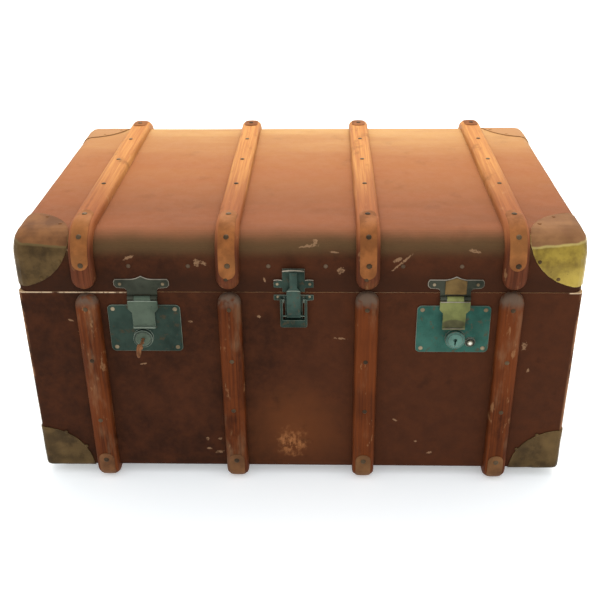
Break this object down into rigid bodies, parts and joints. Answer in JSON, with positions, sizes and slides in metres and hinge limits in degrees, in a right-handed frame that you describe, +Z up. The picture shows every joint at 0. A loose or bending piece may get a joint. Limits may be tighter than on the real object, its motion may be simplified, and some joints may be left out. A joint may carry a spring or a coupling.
{
  "type": "steamer trunk",
  "caption": "Flat-topped travel trunk with a hinged lid, bentwood slats, rounded metal corner caps, hasp locks, a draw catch and end carrying handles.",
  "frame": {"origin": "on the floor under the middle of the whole trunk with its key in the lock; the case itself is centred 18 mm behind it, towards +Y", "axes": "+X to the right seen from the front, -Y towards the front, +Z up"},
  "size_m": [0.8802, 0.6107, 0.449],
  "materials": {
    "covering": "ply boards under a worn, varnished red-brown canvas covering",
    "slat_wood": "varnished bentwood, worn",
    "bare_wood": "bare",
    "strap_metal": "aged tan lacquer",
    "cap_brass": "tarnished",
    "lock_brass": "dull green patina",
    "button_brass": "worn bright",
    "hinge_steel": "dull, brown with age",
    "key_iron": "rusty",
    "handle_leather": "worn"
  },
  "bodies": {
    "case": {"case_back_board": "covering", "case_bottom_board": "covering", "case_front_board": "covering", "case_left_board": "covering", "case_right_board": "covering", "closing_lip": "bare_wood", "case_slat_1": "slat_wood", "case_slat_2": "slat_wood", "case_slat_3": "slat_wood", "case_slat_4": "slat_wood", "runner_strap_1": "strap_metal", "runner_strap_2": "strap_metal", "runner_strap_3": "strap_metal", "runner_strap_4": "strap_metal", "case_corner_front_left": "cap_brass", "case_corner_front_right": "cap_brass", "case_corner_back_left": "cap_brass", "case_corner_back_right": "cap_brass", "lock_plate_left": "lock_brass", "lock_plate_right": "lock_brass", "catch_base": "lock_brass", "hinge_left_lower_leaf": "hinge_steel", "hinge_left_pin": "hinge_steel", "hinge_right_lower_leaf": "hinge_steel", "hinge_right_pin": "hinge_steel", "handle_plate_left": "lock_brass", "handle_plate_right": "lock_brass"},
    "lid": {"lid_top_board": "covering", "lid_left_board": "covering", "lid_right_board": "covering", "lid_slat_1": "slat_wood", "lid_slat_2": "slat_wood", "lid_slat_3": "slat_wood", "lid_slat_4": "slat_wood", "lid_strap_1": "strap_metal", "lid_strap_2": "strap_metal", "lid_strap_3": "strap_metal", "lid_strap_4": "strap_metal", "lid_corner_front_left": "cap_brass", "lid_corner_front_right": "cap_brass", "lid_corner_back_left": "cap_brass", "lid_corner_back_right": "cap_brass", "hinge_left_upper_leaf": "hinge_steel", "hinge_right_upper_leaf": "hinge_steel", "hasp_plate_left": "lock_brass", "hasp_plate_right": "lock_brass", "catch_keeper": "lock_brass"},
    "hasp_left": {"hasp_left": "lock_brass"},
    "hasp_right": {"hasp_right": "lock_brass"},
    "catch_lever": {"catch_lever": "lock_brass"},
    "catch_claw": {"catch_claw": "lock_brass"},
    "lock_barrel_left": {"lock_barrel_left": "lock_brass"},
    "lock_barrel_right": {"lock_barrel_right": "lock_brass"},
    "key": {"key": "key_iron"},
    "release_button": {"release_button": "button_brass"},
    "handle_left": {"handle_left": "handle_leather"},
    "handle_right": {"handle_right": "handle_leather"}
  },
  "joints": [
    {"name": "lid_hinge", "type": "hinge", "parent": "case", "child": "lid", "pos_m": [0, 0.2928, 0.341], "axis": [-1, 0, 0], "range_deg": [0, 100]},
    {"name": "hasp_left_swing", "type": "hinge", "parent": "lid", "child": "hasp_left", "pos_m": [-0.2325, -0.256, 0.3335], "axis": [-1, 0, 0], "range_deg": [0, 150]},
    {"name": "hasp_right_swing", "type": "hinge", "parent": "lid", "child": "hasp_right", "pos_m": [0.2325, -0.256, 0.3335], "axis": [-1, 0, 0], "range_deg": [0, 150]},
    {"name": "catch_lever_swing", "type": "hinge", "parent": "case", "child": "catch_lever", "pos_m": [-0.0065, -0.2585, 0.331], "axis": [-1, 0, 0], "range_deg": [0, 95]},
    {"name": "catch_claw_swing", "type": "hinge", "parent": "catch_lever", "child": "catch_claw", "pos_m": [-0.0065, -0.2585, 0.305], "axis": [-1, 0, 0], "range_deg": [-95, 0]},
    {"name": "lock_barrel_left_turn", "type": "hinge", "parent": "case", "child": "lock_barrel_left", "pos_m": [-0.2365, -0.254, 0.2645], "axis": [0, 1, 0], "range_deg": [0, 90]},
    {"name": "lock_barrel_right_turn", "type": "hinge", "parent": "case", "child": "lock_barrel_right", "pos_m": [0.2365, -0.254, 0.2645], "axis": [0, 1, 0], "range_deg": [0, 90]},
    {"name": "key_pull", "type": "slide", "parent": "lock_barrel_left", "child": "key", "axis": [0, -1, 0], "range_m": [0, 0.03]},
    {"name": "release_button_press", "type": "slide", "parent": "case", "child": "release_button", "axis": [0, 1, 0], "range_m": [0, 0.002], "stiffness_N_per_m": 300},
    {"name": "handle_left_lift", "type": "hinge", "parent": "case", "child": "handle_left", "pos_m": [-0.4313, 0.018, 0.2225], "axis": [0, 1, 0], "range_deg": [0, 90]},
    {"name": "handle_right_lift", "type": "hinge", "parent": "case", "child": "handle_right", "pos_m": [0.4313, 0.018, 0.2225], "axis": [0, -1, 0], "range_deg": [0, 90]}
  ],
  "couplings": [
    {"joint": "catch_claw_swing", "follows": "catch_lever_swing", "ratio": -1}
  ]
}
